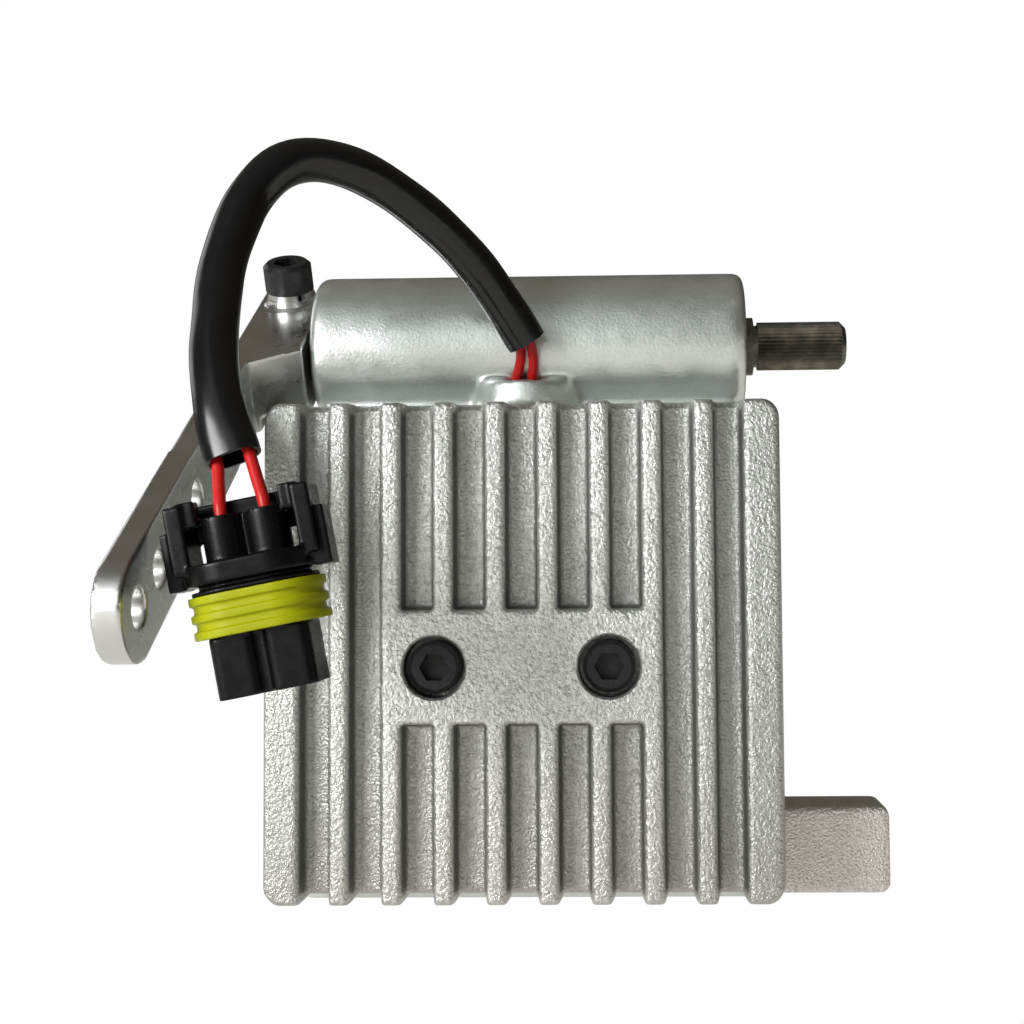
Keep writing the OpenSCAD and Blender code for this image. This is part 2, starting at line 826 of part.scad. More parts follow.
// Swinging arm and shoe, without its holes
module armature_form() {
    far = armature_r * 2;
    translate([-armature_w / 2, 0, 0])
        along_x()
            cylinder(r = armature_hub_r, h = armature_w);
    span([-armature_w / 2, -armature_arm_w / 2, -shoe_inner_r - 2], [armature_w / 2, armature_arm_w / 2, 0]);
    intersection() {
        translate([-armature_w / 2, 0, 0])
            along_x()
                difference() {
                    cylinder(r = armature_r, h = armature_w);
                    translate([0, 0, -overlap])
                        cylinder(r = shoe_inner_r, h = armature_w + 2 * overlap);
                }
        rotate([90, 0, 90])
            translate([0, 0, -armature_w])
                linear_extrude(2 * armature_w)
                    polygon([[0, 0], far * [sin(-shoe_half_angle), -cos(shoe_half_angle)],
                        far * [sin(shoe_half_angle), -cos(shoe_half_angle)]]);
    }
}

module armature() {
    color("slategray")
        difference() {
            on_armature()
                difference() {
                    armature_form();
                    translate([-armature_w, 0, 0])
                        along_x()
                            cylinder(d = shaft_d + fit, h = 2 * armature_w);
                    translate([0, 0, -armature_hub_r * 2])
                        cylinder(d = pin_d, h = armature_hub_r * 4);
                }
            translate(round_axis(-armature_w / 2 - overlap, spring_mean_r, spring_hook_angle))
                along_x()
                    cylinder(d = spring_wire + 4 * fit, h = spring_hook - spring_bend + overlap);
        }
}

module armature_pin() {
    color("dimgray")
        on_armature()
            translate([0, 0, -armature_hub_r + 0.5])
                cylinder(d = pin_d - 2 * fit, h = 2 * armature_hub_r - 1);
}

module magnet_core() {
    inner0 = core_y0 + core_limb;
    inner1 = core_y1 - core_limb;
    color("dimgray")
        difference() {
            span([-core_half_w, core_y0, core_z0], [core_half_w, core_y1, core_top]);
            for (y = [inner0, inner1 - window_w])
                span([-core_half_w - overlap, y, core_window_z0],
                    [core_half_w + overlap, y + window_w, core_top + overlap]);
            on_axis()
                translate([-core_half_w - overlap, 0, 0])
                    along_x()
                        cylinder(r = pole_r, h = 2 * core_half_w + 2 * overlap);
            for (side = [-1, 1]) {
                translate([side * screw_spacing / 2, core_y0 - overlap, pad_z])
                    along_y()
                        cylinder(d = screw_d - 2 * thread_clear + 2 * fit, h = core_limb + 2 * overlap);
                translate([side * core_screw_x, core_y0 - overlap, core_screw_z])
                    along_y() {
                        cylinder(d = core_head_d + 1, h = core_head_h + 1 + overlap);
                        cylinder(d = core_screw_d + 2 * thread_clear, h = body_depth);
                    }
            }
        }
}

// Outline of a square ring round the core's middle limb
module limb_ring(outer, inner) {
    difference() {
        translate([0, core_mid_y])
            square([2 * (core_half_w + outer), core_middle + 2 * outer], center = true);
        translate([0, core_mid_y])
            square([2 * (core_half_w + inner), core_middle + 2 * inner], center = true);
    }
}

module coil_bobbin() {
    color("ivory") {
        translate([0, 0, bobbin_z0])
            linear_extrude(bobbin_z1 - bobbin_z0)
                limb_ring(seat_gap + bobbin_wall, seat_gap);
        for (z = [bobbin_z0, bobbin_z1 - bobbin_wall])
            translate([0, 0, z])
                linear_extrude(bobbin_wall)
                    limb_ring(bobbin_out, seat_gap);
    }
}

module coil_winding() {
    color("chocolate")
        translate([0, 0, bobbin_z0 + bobbin_wall + fit])
            linear_extrude(bobbin_z1 - bobbin_z0 - 2 * bobbin_wall - 2 * fit)
                limb_ring(bobbin_out - 0.5, seat_gap + bobbin_wall + fit);
}

module core_screws() {
    color("gray")
        for (side = [-1, 1])
            translate([side * core_screw_x, core_y0 + core_head_h + 1, core_screw_z])
                rotate([90, 0, 0])
                    cap_screw(core_screw_d - 2 * fit, core_head_d, core_head_h, core_screw_d * 0.8,
                        core_y1 - core_y0 - core_head_h - 1 + back_wall - 2.5);
}

// Point at a sleeve end, to one side of its middle and out along its direction
function sleeve_end(i, side, out) =
    let (t = heading(sleeve_path, i))
    sleeve_path[i] + side * wire_d * 0.65 * unit(cross([0, 1, 0], t)) + out * t;

module lead_wires_boss() {
    color("red")
        for (side = [-1, 1])
            tube([[side * coil_lead_x, coil_lead_y, bobbin_z1 + seat_gap],
                [side * coil_lead_x, coil_lead_y - 0.5, bobbin_z1 + 11],
                [side * (coil_lead_x - 2.5), coil_lead_y - 4.5, cavity_top - 7.5],
                [side * coil_lead_x / 2, lead_y, cavity_top - 3.5],
                [side * wire_spacing / 2, lead_y, cavity_top - 0.5],
                [side * wire_spacing / 2, lead_y, boss_top + seat_gap],
                sleeve_end(0, side, -2), sleeve_end(0, side, -seat_gap)], wire_d / 2, 8);
}

module harness_sleeve() {
    color("black")
        tube(sleeve_path, sleeve_d / 2, 12);
}

// Places a shape in the connector's own frame, with Z along its axis towards the wires
module on_connector() {
    translate(connector_pos)
        rotate([0, connector_tilt, 0])
            children();
}

// Point of the connector's own frame in the part's frame
function connector_point(p) = connector_pos + [p[0] * cos(connector_tilt) + p[2] * sin(connector_tilt),
    p[1], -p[0] * sin(connector_tilt) + p[2] * cos(connector_tilt)];

module lead_wires_plug() {
    last = len(sleeve_path) - 1;
    color("red")
        for (side = [-1, 1])
            tube([sleeve_end(last, -side, seat_gap), sleeve_end(last, -side, 2),
                connector_point([side * tower_x, 0, tower_top + 1.5]),
                connector_point([side * tower_x, 0, tower_top - wire_plug_h + 0.6])], wire_d / 2, 8);
}

module connector_body() {
    plug_z0 = -seal_h / 2 - plug_h;
    lobe_w = (plug_w - plug_groove) / 2;
    core_w = seal_w - 4;
    core_depth = seal_depth - 4;
    color("black")
        on_connector()
            difference() {
                union() {
                    translate([0, 0, plug_z0])
                        linear_extrude(plug_h)
                            union() {
                                for (side = [-1, 1])
                                    translate([side * (plug_groove + lobe_w) / 2, 0])
                                        rounded(-lobe_w / 2, -plug_depth / 2,
                                            lobe_w / 2, plug_depth / 2, 1.6);
                                square([plug_groove + 3.4, plug_depth - 2.4], center = true);
                            }
                    translate([0, 0, -seal_h / 2])
                        linear_extrude(flange_z + seal_h / 2)
                            obround(core_w, core_depth);
                    translate([0, 0, seal_h / 2 + fit])
                        linear_extrude(0.7)
                            obround(seal_w - 1.4, seal_depth - 1.4);
                    translate([0, 0, flange_z])
                        linear_extrude(flange_h)
                            obround(flange_w, flange_depth);
                    for (side = [-1, 1])
                        translate([side * tower_x, 0, flange_z])
                            cylinder(r = tower_r, h = flange_h + tower_h);
                    translate([-wing_x - overlap, 2.4, tower_top - 3.6])
                        cube([2 * (wing_x + overlap), 1.6, 6]);
                    for (side = [0, 1])
                        mirror([side, 0, 0])
                            wing();
                }
                for (side = [-1, 1])
                    translate([side * tower_x, 0, plug_z0 - overlap]) {
                        translate([-socket_w / 2, -socket_w / 2, 0])
                            cube([socket_w, socket_w, plug_h + overlap]);
                        translate([0, 0, plug_h])
                            cylinder(d = wire_d + 1.4, h = tower_top);
                        translate([0, 0, tower_top - plug_z0 - wire_plug_h + overlap])
                            cylinder(r = tower_r - 0.9, h = wire_plug_h + overlap);
                    }
            }
}

// Locking wing on one side of the connector: a block, a lower bar outside it and a hook inside it
module wing() {
    wing_z = flange_z + 2;
    translate([wing_x, -wing_depth / 2, wing_z])
        cube([wing_t, wing_depth, wing_h]);
    translate([wing_x + wing_t - overlap, -wing_depth / 2 + 1.2, wing_z - 2.2])
        cube([bar_t + overlap, wing_depth - 2.4, wing_h - 1.6]);
    translate([wing_x - 2, -wing_depth / 2 + 0.6, wing_z + wing_h - 3.6])
        cube([2 + overlap, 3, 4]);
    translate([flange_w / 2 - 3, -2.5, flange_z])
        cube([wing_x + wing_t - flange_w / 2 + 3 - overlap, 5, flange_h]);
}

module connector_seal() {
    ribs = 3;
    web = 0.6;
    rib_h = 1.3;
    step = (seal_h - rib_h) / (ribs - 1);
    color("yellowgreen")
        on_connector()
            difference() {
                union() {
                    translate([0, 0, -seal_h / 2])
                        linear_extrude(seal_h)
                            obround(seal_w - 2 * web, seal_depth - 2 * web);
                    for (i = [0 : ribs - 1])
                        translate([0, 0, -seal_h / 2 + i * step])
                            linear_extrude(rib_h)
                                obround(seal_w, seal_depth);
                }
                translate([0, 0, -seal_h])
                    linear_extrude(2 * seal_h)
                        obround(seal_w - 4 + 2 * fit, seal_depth - 4 + 2 * fit);
            }
}

module wire_plugs() {
    color("dimgray")
        on_connector()
            for (side = [-1, 1])
                translate([side * tower_x, 0, tower_top - wire_plug_h])
                    difference() {
                        cylinder(r = tower_r - 0.9 - fit, h = wire_plug_h - 0.6);
                        translate([0, 0, -overlap])
                            cylinder(d = wire_d + 2 * fit, h = wire_plug_h + 2 * overlap);
                    }
}

module connector_terminals() {
    plug_z0 = -seal_h / 2 - plug_h;
    color("goldenrod")
        on_connector()
            for (side = [-1, 1])
                translate([side * tower_x, 0, plug_z0]) {
                    translate([-0.4, -1.4, 2])
                        cube([0.8, 2.8, plug_h - 2]);
                    translate([0, 0, plug_h - 0.5])
                        cylinder(d = wire_d + 0.6, h = seal_h);
                }
}

housing();
finned_cover();
cover_gasket();
cover_screws();
output_shaft();
lever();
clamp_screw();
lock_washer();
plain_washer();
bush_left();
bush_right();
shaft_seal_left();
shaft_seal_right();
retaining_rings();
return_spring();
armature();
armature_pin();
magnet_core();
coil_bobbin();
coil_winding();
core_screws();
lead_grommet();
lead_wires_boss();
harness_sleeve();
lead_wires_plug();
connector_body();
connector_seal();
wire_plugs();
connector_terminals();
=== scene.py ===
import bmesh
import bpy
import math
import numpy as np
from mathutils import Matrix, Vector, noise


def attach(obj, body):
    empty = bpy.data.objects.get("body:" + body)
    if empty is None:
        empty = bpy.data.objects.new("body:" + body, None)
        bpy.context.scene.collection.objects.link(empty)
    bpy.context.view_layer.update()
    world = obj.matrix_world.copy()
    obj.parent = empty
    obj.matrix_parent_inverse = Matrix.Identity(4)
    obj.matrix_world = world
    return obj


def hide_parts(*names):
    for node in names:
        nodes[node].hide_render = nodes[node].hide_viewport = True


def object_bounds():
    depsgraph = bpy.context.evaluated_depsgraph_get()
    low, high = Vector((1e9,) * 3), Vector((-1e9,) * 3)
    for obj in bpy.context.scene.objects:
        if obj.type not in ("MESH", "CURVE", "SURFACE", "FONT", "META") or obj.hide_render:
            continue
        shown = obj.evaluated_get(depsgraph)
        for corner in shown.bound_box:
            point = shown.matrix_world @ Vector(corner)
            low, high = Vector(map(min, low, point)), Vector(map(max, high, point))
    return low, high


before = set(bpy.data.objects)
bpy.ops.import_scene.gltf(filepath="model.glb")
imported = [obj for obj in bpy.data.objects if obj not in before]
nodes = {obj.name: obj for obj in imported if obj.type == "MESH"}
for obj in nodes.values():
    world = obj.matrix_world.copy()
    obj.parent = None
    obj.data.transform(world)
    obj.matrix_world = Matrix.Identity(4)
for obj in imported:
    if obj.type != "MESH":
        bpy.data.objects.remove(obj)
cad_low, cad_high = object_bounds()
scene = bpy.context.scene
scene.view_settings.view_transform = "Standard"
MM = 0.001

# Sizes of the cover and the foot in millimetres

FIN_COUNT, FIN_PITCH = 10, 10
FIN_H, FIN_HALF, EDGE_HALF, FIN_LEAN, CREST_R = 5.0, 2.5, 4.0, 0.8, 1.1
EDGE_FINS = (0, FIN_COUNT - 1)
COVER_X, COVER_Z, PLATE_Z, COVER_R = 50.0, 47.8, 46.6, 3.6
FLOOR_Y, BACK_Y = -47.0, -43.0
PAD_LOW, PAD_HIGH, PAD_END_R = -12.753, 6.753, 1.9
PAD_CHANNELS = range(2, 7)
LIP, LIP_DROP = 1.3, 0.8
SCREW_X, SCREW_Z = 16.7, -3
BORE_PROFILE = [(0, -54), (7.6, -54), (6.45, -52.1), (6.1, -51.7), (5.9, -51.2), (5.9, -45.4),
                (3.25, -45.4), (3.25, -42), (0, -42)]
FOOT_X = 50

# Sizes of the harness in millimetres

SLEEVE = [(1, -45.5, 60), (-3, -48, 66.5), (-9, -52, 74.8), (-16, -57, 81.6), (-23, -62, 86.5),
          (-29.5, -67, 89.3), (-36, -71, 89.8), (-41, -75, 87.2), (-45, -78, 81.5), (-47, -81.5, 74.7),
          (-48, -85.5, 66.8), (-47.6, -90, 58.5), (-46.6, -94.5, 50), (-44.4, -98.5, 41.5),
          (-41.6, -100.8, 33.6)]
SLEEVE_R, SLEEVE_BORE_R = 4.0, 3.3
RIPPLE, RIPPLE_TURN = 0.05, 9 * 6.28
OVAL, OVAL_START = 0.75, 0.85
LEAD_R, LEAD_ASIDE, LEAD_SPREAD = 1.0, 1.05, 2.7
TWIST_START, TWIST_SPAN = 0.3, 0.5
CONNECTOR = np.array([-36.3, -104.0, 10.1])
CONNECTOR_TILT = math.radians(-10.8)
TOWER_X, TOWER_TOP = 3.5, 15.2

LEVER_TILT = math.radians(-31.5)


# Camera at the photograph's place, level with the cover's upper half and looking slightly up

CAMERA_PLACE = (22.6, -332, 16.5)
CAMERA_TURN, CAMERA_PITCH, CAMERA_ROLL = 1.4, 93, -0.5


def turned(degrees, axis):
    return Matrix.Rotation(math.radians(degrees), 3, axis)


camera_data = bpy.data.cameras.new("camera")
camera_data.sensor_width = 36
camera_data.lens = 51.7
camera_data.shift_x = -0.0885
camera_data.shift_y = -0.025
camera_data.clip_start = 0.01
camera_data.clip_end = 20
camera = bpy.data.objects.new("camera", camera_data)
scene.collection.objects.link(camera)
scene.camera = camera
camera.location = tuple(c * MM for c in CAMERA_PLACE)
aim = turned(CAMERA_TURN, "Z") @ turned(CAMERA_PITCH, "X")
camera.rotation_euler = (aim @ turned(CAMERA_ROLL, "Z")).to_euler()


# Shader nodes

def add_node(tree, kind, inputs, operation=None, data_type=None):
    """New shader node. An input is linked where a socket is given, and set where a value is."""
    node = tree.nodes.new("ShaderNode" + kind)
    if operation:
        node.operation = operation
    if data_type:
        node.data_type = data_type
    for key, value in inputs.items():
        if isinstance(value, bpy.types.NodeSocket):
            tree.links.new(value, node.inputs[key])
        else:
            node.inputs[key].default_value = value
    return node


def ramped(tree, value, low, high, a, b):
    """Node that takes value from low to high over to a to b, and holds it at both ends."""
    return add_node(tree, "MapRange", {"Value": value, "From Min": low, "From Max": high,
                                       "To Min": a, "To Max": b})


def mixed(tree, factor, a, b):
    """Colour between a and b."""
    return add_node(tree, "Mix", {"Factor": factor, "A": a, "B": b}, data_type="RGBA").outputs["Result"]


class Shader:
    """A material with one Principled shader, built up by named layers in object space."""

    def __init__(self, name, base, rough, metal=0.0, spec=None):
        self.material = bpy.data.materials.new(name)
        self.material.use_nodes = True
        self.tree = self.material.node_tree
        self.shader = self.tree.nodes["Principled BSDF"]
        self.shader.inputs["Base Color"].default_value = (*base, 1)
        self.shader.inputs["Roughness"].default_value = rough
        self.shader.inputs["Metallic"].default_value = metal
        if spec is not None:
            self.shader.inputs["Specular IOR Level"].default_value = spec
        self.coords = self.tree.nodes.new("ShaderNodeTexCoord").outputs["Object"]
        self.normal = None

    def place(self):
        """X, Y and Z of the point."""
        return add_node(self.tree, "SeparateXYZ", {0: self.coords}).outputs

    def noise(self, scale, detail, stretch=None):
        coords = self.coords
        if stretch:
            coords = add_node(self.tree, "Mapping", {"Vector": coords, "Scale": stretch}).outputs["Vector"]
        return add_node(self.tree, "TexNoise", {"Vector": coords, "Scale": scale, "Detail": detail,
                                                "Roughness": 0.55}).outputs["Fac"]

    def ramp(self, value, low, high, a, b):
        return ramped(self.tree, value, low, high, a, b).outputs["Result"]

    def times(self, a, b):
        return add_node(self.tree, "Math", {0: a, 1: b}, "MULTIPLY").outputs[0]

    def size(self, value):
        return add_node(self.tree, "Math", {0: value}, "ABSOLUTE").outputs[0]

    def tint(self, factor, color):
        """Mixes the base colour so far towards color by factor."""
        target = self.shader.inputs["Base Color"]
        so_far = target.links[0].from_socket if target.is_linked else target.default_value
        self.tree.links.new(mixed(self.tree, factor, so_far, (*color, 1)), target)
        return self

    def bump(self, height, distance):
        """Relief on top of the relief so far."""
        inputs = {"Strength": 1.0, "Distance": distance, "Height": height}
        if self.normal is not None:
            inputs["Normal"] = self.normal
        self.normal = add_node(self.tree, "Bump", inputs).outputs["Normal"]
        self.tree.links.new(self.normal, self.shader.inputs["Normal"])
        return self

    def speckle(self, scale, detail, low, high, amount, color):
        """Spots of a colour where the noise is above low, full where it reaches high."""
        return self.tint(self.ramp(self.noise(scale, detail), low, high, 0.0, amount), color)

    def sheen(self, scale, detail, least, most):
        """Roughness that wanders between least and most."""
        rough = self.ramp(self.noise(scale, detail), 0.3, 0.7, least, most)
        self.tree.links.new(rough, self.shader.inputs["Roughness"])
        return self

    def grain(self, scale, detail, depth):
        """Noise as relief, with its depth in millimetres."""
        return self.bump(self.noise(scale, detail), depth * MM)


# Materials

def cast(name, base, rough, grain, coarse):
    """Raw cast aluminium: blotches, pits, a rolling skin and a sparkling grain."""
    m = Shader(name, base, rough, 0.85)
    m.speckle(70, 4, 0.35, 0.7, 0.3, tuple(c * 0.8 for c in base))
    m.speckle(1200, 2, 0.45, 0.65, grain, tuple(c * 0.45 for c in base))
    m.speckle(2200, 1, 0.5, 0.7, grain, tuple(min(1, c * 1.5) for c in base))
    m.sheen(260, 3, rough - 0.07, rough + 0.1)
    m.grain(330, 3, coarse)
    return m.grain(1700, 2, 0.65 * grain)


def cover_cast():
    """The cover's metal, with painted shade between the fins (partly a darker oxide there), painted shade on
    the fin walls and at its sides, and darker and warmer towards its lower end.
    """
    m = cast("cover_cast", (0.81, 0.83, 0.795), 0.42, 0.6, 0.13)
    place = m.place()
    aside, depth, height = m.size(place["X"]), place["Y"], place["Z"]
    # Painted shade down in the channels between the fins, darkest at their floors, with a darker oxide there
    # as well.
    m.tint(m.ramp(depth, (FLOOR_Y - 4.4) * MM, (FLOOR_Y - 0.6) * MM, 0.0, 0.4), (0.28, 0.275, 0.26))
    m.tint(m.ramp(height, 0.0, -42 * MM, 0.0, 0.42), (0.45, 0.41, 0.37))
    # Painted shade: darker towards the left and right sides, where the light falls off.
    m.tint(m.ramp(aside, 22 * MM, 48 * MM, 0.0, 0.42), (0.36, 0.375, 0.36))
    # Painted shade on the middle of the fin walls, kept clear of the cover's rim.
    wall_shade = m.times(m.ramp(depth, (FLOOR_Y - 0.3) * MM, (FLOOR_Y - 1.3) * MM, 0.0, 0.9),
                      m.ramp(depth, (FLOOR_Y - 4.1) * MM, (FLOOR_Y - 3.3) * MM, 0.0, 1.0))
    within = m.times(m.ramp(aside, (COVER_X - 3) * MM, (COVER_X - 2) * MM, 1.0, 0.0),
                     m.ramp(m.size(height), (COVER_Z - 2.4) * MM, (COVER_Z - 1.4) * MM, 1.0, 0.0))
    return m.tint(m.times(wall_shade, within), (0.14, 0.145, 0.14))


def body_cast():
    """The box's metal: smooth, with a warmer and coarser grain on the foot."""
    m = cast("body_cast", (0.78, 0.82, 0.79), 0.36, 0.09, 0.025)
    on_foot = m.ramp(m.place()["X"], FOOT_X * MM, (FOOT_X + 2) * MM, 0.0, 1.0)
    m.tint(m.ramp(on_foot, 0.0, 1.0, 0.0, 0.8), (0.97, 0.91, 0.86))
    m.tint(m.times(on_foot, m.ramp(m.noise(1500, 2), 0.4, 0.7, 0.0, 0.45)), (0.45, 0.4, 0.36))
    return m.bump(m.times(on_foot, m.noise(1900, 2)), 0.5 * MM)


cover_metal = cover_cast()
body_metal = body_cast()

zinc = Shader("zinc_plate", (0.7, 0.7, 0.69), 0.27, 1.0)
zinc.speckle(55, 4, 0.4, 0.7, 0.45, (0.6, 0.61, 0.61)).sheen(120, 4, 0.2, 0.36).grain(500, 3, 0.012)

steel = Shader("bright_steel", (0.5, 0.49, 0.48), 0.3, 1.0)
steel.sheen(400, 3, 0.24, 0.4).grain(900, 2, 0.006)

dark = Shader("dark_steel", (0.13, 0.122, 0.1), 0.4, 0.9)
dark.speckle(420, 4, 0.42, 0.7, 0.7, (0.27, 0.25, 0.2)).sheen(300, 3, 0.32, 0.52).grain(800, 3, 0.02)

oxide = Shader("black_oxide", (0.018, 0.018, 0.02), 0.36, 0.35)
oxide.speckle(700, 3, 0.5, 0.75, 0.5, (0.06, 0.06, 0.062)).sheen(350, 3, 0.3, 0.5).grain(1100, 2, 0.012)

bronze = Shader("bronze", (0.5, 0.33, 0.15), 0.45, 0.95)
bronze.speckle(800, 2, 0.45, 0.7, 0.5, (0.3, 0.19, 0.09))

contact = Shader("contact", (0.72, 0.52, 0.24), 0.3, 1.0)
contact.grain(900, 2, 0.004)

copper = Shader("winding", (0.42, 0.15, 0.05), 0.35, 0.6)
copper.bump(copper.noise(1500, 1, stretch=(0.05, 0.05, 1)), 0.08 * MM)

rubber = Shader("rubber", (0.022, 0.022, 0.022), 0.6)
rubber.grain(900, 3, 0.02)

seal_rubber = Shader("seal_rubber", (0.4, 0.42, 0.003), 0.42, spec=0.22)
seal_rubber.speckle(200, 3, 0.4, 0.7, 0.4, (0.34, 0.365, 0.003)).grain(700, 2, 0.02)

shell = Shader("shell_plastic", (0.0035, 0.0035, 0.004), 0.3, spec=0.2)
shell.sheen(500, 3, 0.22, 0.36).grain(1400, 2, 0.012)

bobbin = Shader("bobbin_plastic", (0.7, 0.66, 0.55), 0.5)
bobbin.grain(900, 2, 0.01)

red = Shader("lead_red", (0.62, 0.016, 0.014), 0.36, spec=0.35)
red.speckle(300, 2, 0.4, 0.7, 0.3, (0.45, 0.012, 0.012)).grain(600, 2, 0.02)

pvc = Shader("sleeve_black", (0.006, 0.006, 0.0065), 0.2, spec=0.45)
pvc.sheen(90, 3, 0.14, 0.3).grain(160, 2, 0.12)

CAD_LOOKS = {
    "housing": body_metal, "finned_cover": cover_metal, "cover_gasket": rubber, "cover_screws": oxide,
    "output_shaft": dark, "lever": zinc, "clamp_screw": oxide, "lock_washer": steel, "plain_washer": zinc,
    "bush_left": bronze, "bush_right": bronze, "shaft_seal_left": rubber, "shaft_seal_right": rubber,
    "retaining_rings": steel, "return_spring": steel, "armature": steel, "armature_pin": steel,
    "magnet_core": dark, "coil_bobbin": bobbin, "coil_winding": copper, "core_screws": steel,
    "lead_grommet": rubber, "connector_body": shell, "connector_seal": seal_rubber, "wire_plugs": rubber,
    "connector_terminals": contact}
for name, look in CAD_LOOKS.items():
    nodes[name].data.materials.clear()
    nodes[name].data.materials.append(look.material)


# Meshes and paths

def mesh_object(name, verts, faces, scale=MM):
    mesh = bpy.data.meshes.new(name)
    mesh.from_pydata([tuple(c * scale for c in v) for v in verts], [], faces)
    mesh.validate()
    mesh.update()
    thing = bpy.data.objects.new(name, mesh)
    scene.collection.objects.link(thing)
    return thing


def shade(thing, angle):
    """Smooth shading, with sharp edges where faces meet at angle or more."""
    bm = bmesh.new()
    bm.from_mesh(thing.data)
    limit = math.radians(angle)
    for f in bm.faces:
        f.smooth = True
    for e in bm.edges:
        e.smooth = len(e.link_faces) == 2 and e.calc_face_angle(0) < limit
    bm.to_mesh(thing.data)
    bm.free()


def settle(thing):
    """Applies a piece's modifiers to its mesh."""
    made = bpy.data.meshes.new_from_object(thing.evaluated_get(bpy.context.evaluated_depsgraph_get()))
    thing.modifiers.clear()
    thing.data = made


def cut(thing, tool):
    """Takes tool out of a piece and deletes tool."""
    step = thing.modifiers.new("cut", "BOOLEAN")
    step.object = tool
    step.operation = "DIFFERENCE"
    step.solver = "EXACT"
    settle(thing)
    bpy.data.objects.remove(tool)


def dress(thing, look, body, slot, *replaced):
    """Gives a piece its material and body, and hides the CAD nodes that it stands in for. The slot argument
    is not used.
    """
    thing.data.materials.clear()
    thing.data.materials.append(look.material)
    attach(thing, body)
    if replaced:
        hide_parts(*replaced)
    return thing


def spline(points, count):
    """count + 1 points along a smooth curve through the given points, evenly spaced."""
    p = np.array(points, float)
    p = np.vstack([2 * p[0] - p[1], p, 2 * p[-1] - p[-2]])
    out = []
    for i in range(1, len(p) - 2):
        for t in np.linspace(0, 1, 24, endpoint=False):
            a, b, c, d = p[i - 1], p[i], p[i + 1], p[i + 2]
            out.append(0.5 * (2 * b + (c - a) * t + (2 * a - 5 * b + 4 * c - d) * t * t
                              + (3 * b - a - 3 * c + d) * t ** 3))
    out.append(p[-2])
    out = np.array(out)
    run = np.concatenate([[0], np.cumsum(np.linalg.norm(np.diff(out, axis=0), axis=1))])
    want = np.linspace(0, run[-1], count + 1)
    return np.stack([np.interp(want, run, out[:, k]) for k in range(3)], 1)


def frames(path):
    """Tangent, side and up at each point of a path, without twist."""
    tangent = np.gradient(path, axis=0)
    tangent /= np.linalg.norm(tangent, axis=1)[:, None]
    side = np.cross(tangent[0], [0.0, 1.0, 0.0])
    sides = []
    for t in tangent:
        side = side - t * (side @ t)
        side = side / np.linalg.norm(side)
        sides.append(side)
    sides = np.array(sides)
    return tangent, sides, np.cross(sides, tangent)


def tube_mesh(name, path, outer, inner, segments, swell):
    """Hollow tube along a path, with rounded ends. swell(share of the length, angle) adds to its radii."""
    tangent, side, up = frames(path)
    last = len(path) - 1
    lip = (outer - inner) * 0.3
    rings = [(0, inner, 0.0), (0, inner + lip, 0.0), (0, outer - lip * 0.3, lip * 0.3)]
    rings += [(i, outer, 0.0) for i in range(1, last)]
    rings += [(last, outer - lip * 0.3, -lip * 0.3), (last, inner + lip, 0.0), (last, inner, 0.0)]
    rings += [(i, inner, 0.0) for i in range(last - 1, 0, -1)]
    verts, faces = [], []
    for i, radius, shift in rings:
        centre = path[i] + tangent[i] * shift
        for k in range(segments):
            a = 2 * math.pi * k / segments
            r = radius + swell(i / last, a)
            verts.append(centre + r * (math.cos(a) * side[i] + math.sin(a) * up[i]))
    for j in range(len(rings)):
        here, there = j * segments, (j + 1) % len(rings) * segments
        for k in range(segments):
            after = (k + 1) % segments
            faces.append((here + k, here + after, there + after, there + k))
    thing = mesh_object(name, verts, faces)
    shade(thing, 50)
    return thing


def curve_cord(name, path, radius):
    """Round cord along a path, as a curve."""
    data = bpy.data.curves.new(name, "CURVE")
    data.dimensions = "3D"
    data.bevel_depth = radius * MM
    data.bevel_resolution = 5
    data.use_fill_caps = True
    line = data.splines.new("POLY")
    line.points.add(len(path) - 1)
    for point, p in zip(line.points, path):
        point.co = (*(p * MM), 1)
    line.use_smooth = True
    thing = bpy.data.objects.new(name, data)
    scene.collection.objects.link(thing)
    return thing


def lathe(name, profile, place, segments):
    """Solid turned about the Y axis from (radius, y) points, moved by place."""
    verts, faces, rings = [], [], []
    for r, y in profile:
        if r == 0:
            rings.append([len(verts)])
            verts.append((place[0], place[1] + y, place[2]))
            continue
        rings.append(list(range(len(verts), len(verts) + segments)))
        for k in range(segments):
            a = 2 * math.pi * k / segments
            verts.append((place[0] + r * math.cos(a), place[1] + y, place[2] + r * math.sin(a)))
    for a, b in zip(rings, rings[1:]):
        for k in range(segments):
            after = (k + 1) % segments
            if len(a) == 1:
                faces.append((a[0], b[after], b[k]))
            elif len(b) == 1:
                faces.append((a[k], a[after], b[0]))
            else:
                faces.append((a[k], a[after], b[after], b[k]))
    thing = mesh_object(name, verts, faces)
    bm = bmesh.new()
    bm.from_mesh(thing.data)
    bmesh.ops.recalc_face_normals(bm, faces=bm.faces)
    bm.to_mesh(thing.data)
    bm.free()
    return thing


# Harness: two red leads in a glossy sleeve, which is pressed oval at the connector's end

sleeve_line = spline(SLEEVE, 90)
sleeve_way, sleeve_side, sleeve_up = frames(sleeve_line)
across = np.cross(sleeve_way[-1], (0, 1, 0))
across *= np.sign(across[0])
oval_angle = math.atan2(across @ sleeve_up[-1], across @ sleeve_side[-1])


def at_connector(x, y, z):
    """Place of a point that is given in the tilted connector's own directions."""
    return CONNECTOR + np.array([x * math.cos(CONNECTOR_TILT) + z * math.sin(CONNECTOR_TILT), y,
                                 -x * math.sin(CONNECTOR_TILT) + z * math.cos(CONNECTOR_TILT)])


def sleeve_swell(t, a):
    """What the sleeve's radius gains at a share t of its length and an angle a."""
    ripple = RIPPLE * math.sin(RIPPLE_TURN * t + 2 * a) - RIPPLE
    pressed = max(0.0, (t - OVAL_START) / (1 - OVAL_START)) ** 1.5
    return ripple + OVAL * pressed * math.cos(2 * (a - oval_angle))


